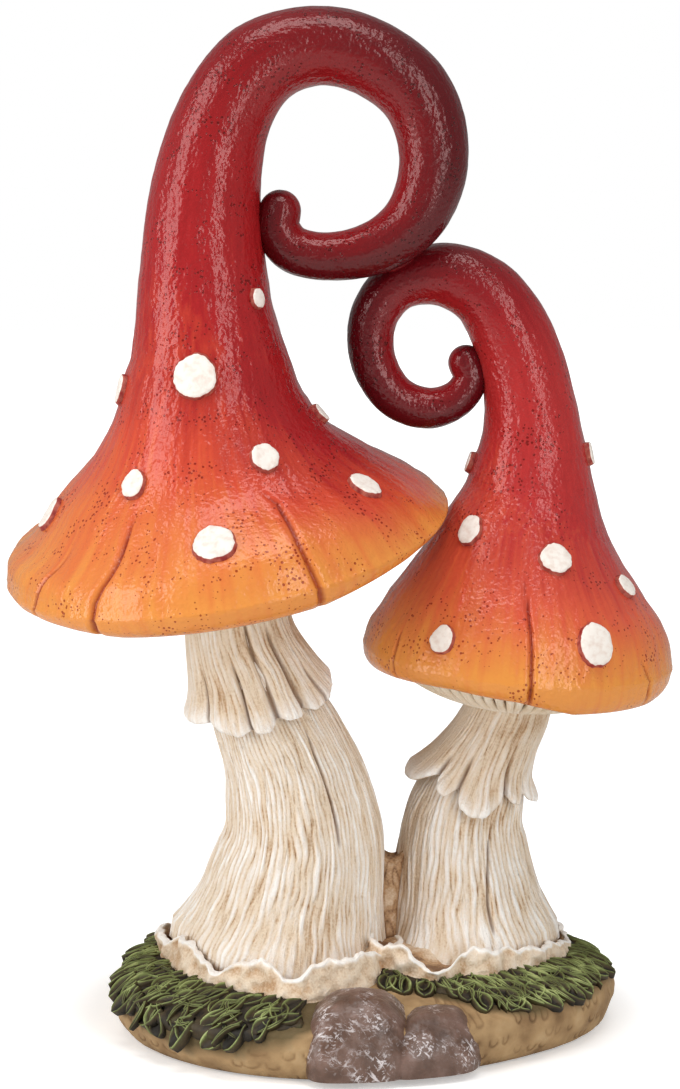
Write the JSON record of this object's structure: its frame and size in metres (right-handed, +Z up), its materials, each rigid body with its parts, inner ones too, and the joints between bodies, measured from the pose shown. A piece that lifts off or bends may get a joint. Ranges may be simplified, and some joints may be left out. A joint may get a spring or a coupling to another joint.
{
  "type": "mushroom ornament",
  "caption": "Free-standing painted resin ornament: a tall and a short spotted mushroom with curled cap tips, rising from a grassy mound with stones at its front edge.",
  "frame": {"origin": "centre of the ornament's box, at the flat underside of the mound that rests on the table", "axes": "+Z up along the height, -Y towards the viewer in front, where the stones are, +X to that viewer's right"},
  "size_m": [0.2312, 0.168, 0.3497],
  "materials": {
    "large_cap_lacquer": "semi-gloss hand-painted lacquer, dark red at the curl to orange at the rim",
    "small_cap_lacquer": "semi-gloss hand-painted lacquer, dark red at the curl to orange at the rim",
    "spot_paint": "thick matt white paint with a red edge",
    "stem_paint": "matt cream paint, dry-brushed white on the ridges with brown in the grooves",
    "gill_paint": "matt tan paint",
    "sand_paint": "matt sandy ochre paint",
    "grass_paint": "matt dark green paint, dry-brushed light green on the blades",
    "stone_paint": "matt brown-grey paint, dry-brushed white on the edges"
  },
  "bodies": {
    "root": {"ground": "sand_paint", "large_stone": "stone_paint", "small_stone": "stone_paint", "large_stem": "stem_paint", "small_stem": "stem_paint", "large_cap": "large_cap_lacquer", "small_cap": "small_cap_lacquer", "curl_bead": "large_cap_lacquer", "large_gills": "gill_paint", "small_gills": "gill_paint", "large_skirt": "stem_paint", "small_skirt": "stem_paint", "large_frill": "stem_paint", "small_frill": "stem_paint", "stem_web": "stem_paint", "grass_right": "grass_paint", "grass_left": "grass_paint", "grass_back": "grass_paint", "large_spot_1": "spot_paint", "large_spot_2": "spot_paint", "large_spot_3": "spot_paint", "large_spot_4": "spot_paint", "large_spot_5": "spot_paint", "large_spot_6": "spot_paint", "large_spot_7": "spot_paint", "large_spot_8": "spot_paint", "large_spot_9": "spot_paint", "large_spot_10": "spot_paint", "large_spot_11": "spot_paint", "large_spot_12": "spot_paint", "large_spot_13": "spot_paint", "large_spot_14": "spot_paint", "large_spot_15": "spot_paint", "small_spot_1": "spot_paint", "small_spot_2": "spot_paint", "small_spot_3": "spot_paint", "small_spot_4": "spot_paint", "small_spot_5": "spot_paint", "small_spot_6": "spot_paint", "small_spot_7": "spot_paint", "small_spot_8": "spot_paint", "small_spot_9": "spot_paint", "small_spot_10": "spot_paint", "small_spot_11": "spot_paint"}
  },
  "joints": []
}
